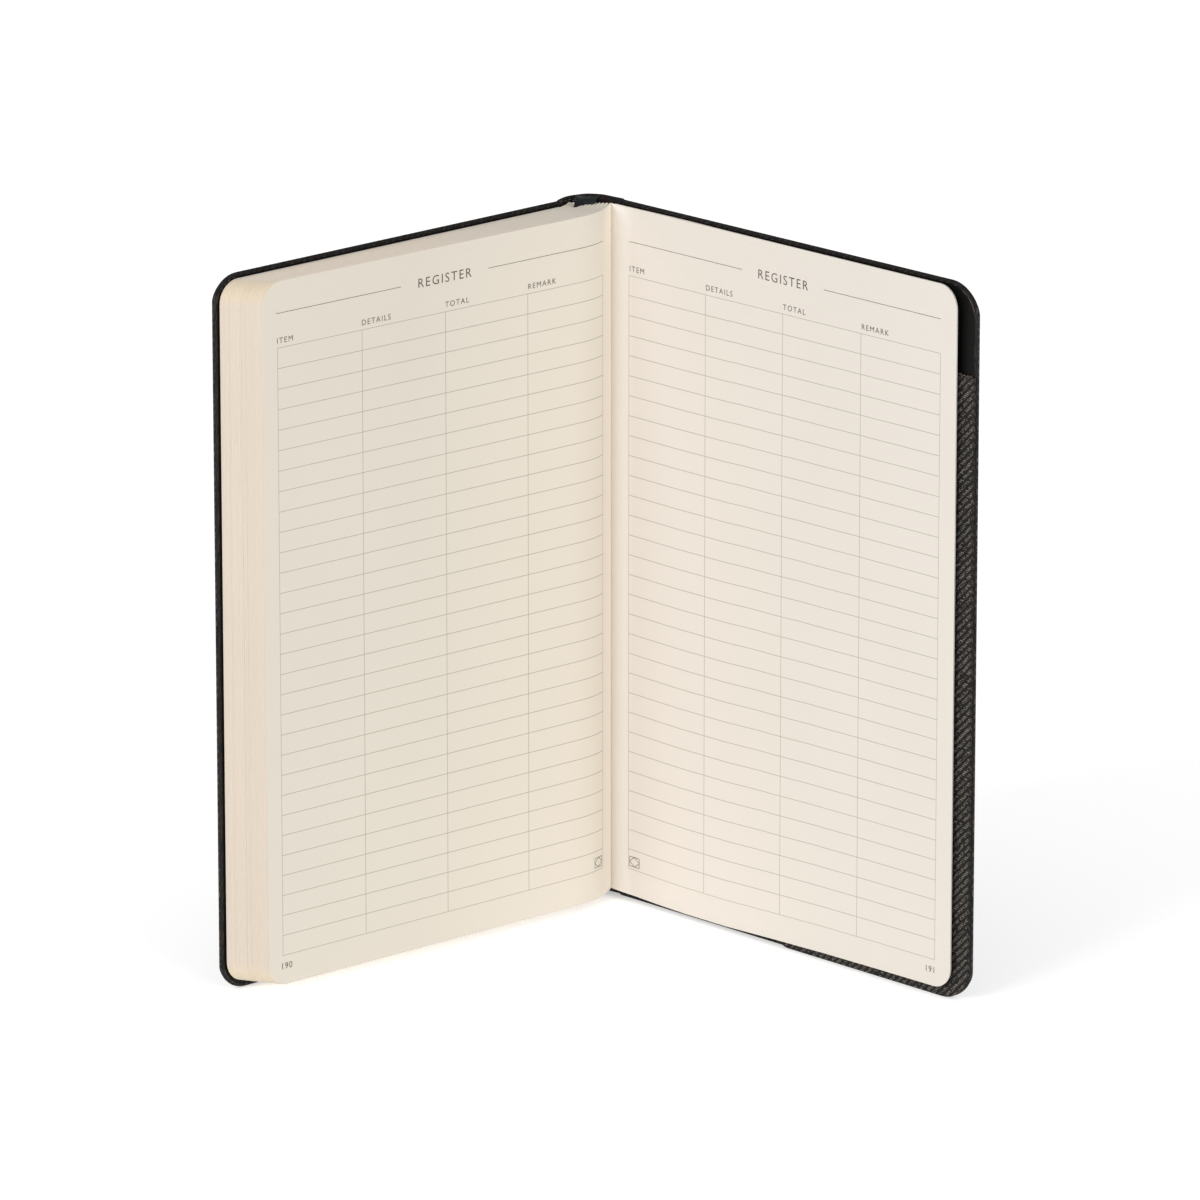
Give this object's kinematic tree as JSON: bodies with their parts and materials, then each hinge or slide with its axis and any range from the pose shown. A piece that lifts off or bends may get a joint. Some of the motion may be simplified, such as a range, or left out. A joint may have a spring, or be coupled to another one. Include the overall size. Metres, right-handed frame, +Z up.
{
  "type": "softcover notebook",
  "caption": "Softcover sewn notebook standing open on its foot at the last spread, cloth cover, inner pocket and ribbon marker.",
  "frame": {"origin": "foot of the spine, in the middle of the spine wall at its crown", "axes": "+Z up along the spine; +Y away from the reader, out of the back of the spine; +X to the reader's right, towards the back cover's fore edge"},
  "size_m": [0.1838, 0.0914, 0.1804],
  "materials": {
    "cover_cloth": "charcoal twill weave",
    "black_lining": "smooth satin black",
    "cover_card": "raw grey card",
    "page_paper": "matt ivory, printed grid",
    "endpaper": "matt ivory, unprinted",
    "gauze": "open weave",
    "ribbon": "satin"
  },
  "bodies": {
    "spine": {"spine_skin": "cover_cloth", "spine_liner": "black_lining", "spine_mull": "gauze", "sewn_folds": "page_paper", "ribbon_marker": "ribbon"},
    "signature_01": {"signature_01": "page_paper"},
    "signature_02": {"signature_02": "page_paper"},
    "signature_03": {"signature_03": "page_paper"},
    "signature_04": {"signature_04": "page_paper"},
    "signature_05": {"signature_05": "page_paper"},
    "signature_06": {"signature_06": "page_paper"},
    "signature_07": {"signature_07": "page_paper"},
    "signature_08": {"signature_08": "page_paper"},
    "signature_09": {"signature_09": "page_paper"},
    "signature_10": {"signature_10": "page_paper"},
    "signature_11": {"signature_11": "page_paper"},
    "signature_12": {"signature_12": "page_paper"},
    "front_flyleaf": {"front_flyleaf": "endpaper"},
    "front_cover": {"front_cover_skin": "cover_cloth", "front_cover_core": "cover_card", "front_cover_lining": "black_lining"},
    "last_leaf": {"last_leaf": "page_paper"},
    "back_flyleaf": {"back_flyleaf": "endpaper"},
    "back_cover": {"back_cover_skin": "cover_cloth", "back_cover_core": "cover_card", "back_cover_lining": "black_lining", "pocket_panel": "cover_cloth"}
  },
  "joints": [
    {"name": "back_cover_swing", "type": "hinge", "parent": "spine", "child": "back_cover", "pos_m": [0.00625, -0.00558, 0.09], "axis": [0, 0, 1], "range_deg": [-60, 15]},
    {"name": "signature_01_lean", "type": "hinge", "parent": "spine", "child": "signature_01", "pos_m": [-0.00806, -0.00821, 0.09], "axis": [0, 0, 1], "range_deg": [-8.6, 34.1]},
    {"name": "signature_02_lean", "type": "hinge", "parent": "spine", "child": "signature_02", "pos_m": [-0.00726, -0.0089, 0.09], "axis": [0, 0, 1], "range_deg": [-8.6, 34.1]},
    {"name": "signature_03_lean", "type": "hinge", "parent": "spine", "child": "signature_03", "pos_m": [-0.00645, -0.00958, 0.09], "axis": [0, 0, 1], "range_deg": [-8.6, 34.1]},
    {"name": "signature_04_lean", "type": "hinge", "parent": "spine", "child": "signature_04", "pos_m": [-0.00565, -0.01026, 0.09], "axis": [0, 0, 1], "range_deg": [-8.6, 34.1]},
    {"name": "signature_05_lean", "type": "hinge", "parent": "spine", "child": "signature_05", "pos_m": [-0.00485, -0.01094, 0.09], "axis": [0, 0, 1], "range_deg": [-8.6, 34.1]},
    {"name": "signature_06_lean", "type": "hinge", "parent": "spine", "child": "signature_06", "pos_m": [-0.00405, -0.01162, 0.09], "axis": [0, 0, 1], "range_deg": [-8.6, 34.1]},
    {"name": "signature_07_lean", "type": "hinge", "parent": "spine", "child": "signature_07", "pos_m": [-0.00325, -0.01231, 0.09], "axis": [0, 0, 1], "range_deg": [-8.6, 34.1]},
    {"name": "signature_08_lean", "type": "hinge", "parent": "spine", "child": "signature_08", "pos_m": [-0.00244, -0.01299, 0.09], "axis": [0, 0, 1], "range_deg": [-8.6, 34.1]},
    {"name": "signature_09_lean", "type": "hinge", "parent": "spine", "child": "signature_09", "pos_m": [-0.00164, -0.01367, 0.09], "axis": [0, 0, 1], "range_deg": [-8.6, 34.1]},
    {"name": "signature_10_lean", "type": "hinge", "parent": "spine", "child": "signature_10", "pos_m": [-0.00084, -0.01435, 0.09], "axis": [0, 0, 1], "range_deg": [-8.6, 34.1]},
    {"name": "signature_11_lean", "type": "hinge", "parent": "spine", "child": "signature_11", "pos_m": [-0.00004, -0.01504, 0.09], "axis": [0, 0, 1], "range_deg": [-8.6, 34.1]},
    {"name": "signature_12_lean", "type": "hinge", "parent": "spine", "child": "signature_12", "pos_m": [0.00077, -0.01572, 0.09], "axis": [0, 0, 1], "range_deg": [-8.6, 34.1]},
    {"name": "last_leaf_turn", "type": "hinge", "parent": "spine", "child": "last_leaf", "pos_m": [0.00382, -0.00649, 0.09], "axis": [0, 0, 1], "range_deg": [-59.9, 15]},
    {"name": "back_flyleaf_turn", "type": "hinge", "parent": "spine", "child": "back_flyleaf", "pos_m": [0.00421, -0.00659, 0.09], "axis": [0, 0, 1], "range_deg": [-60, 15]},
    {"name": "front_cover_open", "type": "hinge", "parent": "signature_01", "child": "front_cover", "pos_m": [-0.01032, -0.00619, 0.09], "axis": [0, 0, -1], "range_deg": [0, 130]},
    {"name": "front_flyleaf_turn", "type": "hinge", "parent": "signature_01", "child": "front_flyleaf", "pos_m": [-0.00851, -0.00773, 0.09], "axis": [0, 0, -1], "range_deg": [0, 15.7]}
  ],
  "couplings": [
    {"joint": "signature_01_lean", "follows": "back_cover_swing", "ratio": -0.54333},
    {"joint": "signature_02_lean", "follows": "back_cover_swing", "ratio": -0.54546},
    {"joint": "signature_03_lean", "follows": "back_cover_swing", "ratio": -0.54758},
    {"joint": "signature_04_lean", "follows": "back_cover_swing", "ratio": -0.5497},
    {"joint": "signature_05_lean", "follows": "back_cover_swing", "ratio": -0.55182},
    {"joint": "signature_06_lean", "follows": "back_cover_swing", "ratio": -0.55394},
    {"joint": "signature_07_lean", "follows": "back_cover_swing", "ratio": -0.55606},
    {"joint": "signature_08_lean", "follows": "back_cover_swing", "ratio": -0.55818},
    {"joint": "signature_09_lean", "follows": "back_cover_swing", "ratio": -0.5603},
    {"joint": "signature_10_lean", "follows": "back_cover_swing", "ratio": -0.56242},
    {"joint": "signature_11_lean", "follows": "back_cover_swing", "ratio": -0.56454},
    {"joint": "signature_12_lean", "follows": "back_cover_swing", "ratio": -0.56667},
    {"joint": "last_leaf_turn", "follows": "back_cover_swing", "ratio": 0.99667},
    {"joint": "back_flyleaf_turn", "follows": "back_cover_swing", "ratio": 0.99833},
    {"joint": "front_flyleaf_turn", "follows": "front_cover_open", "ratio": 0.12}
  ]
}
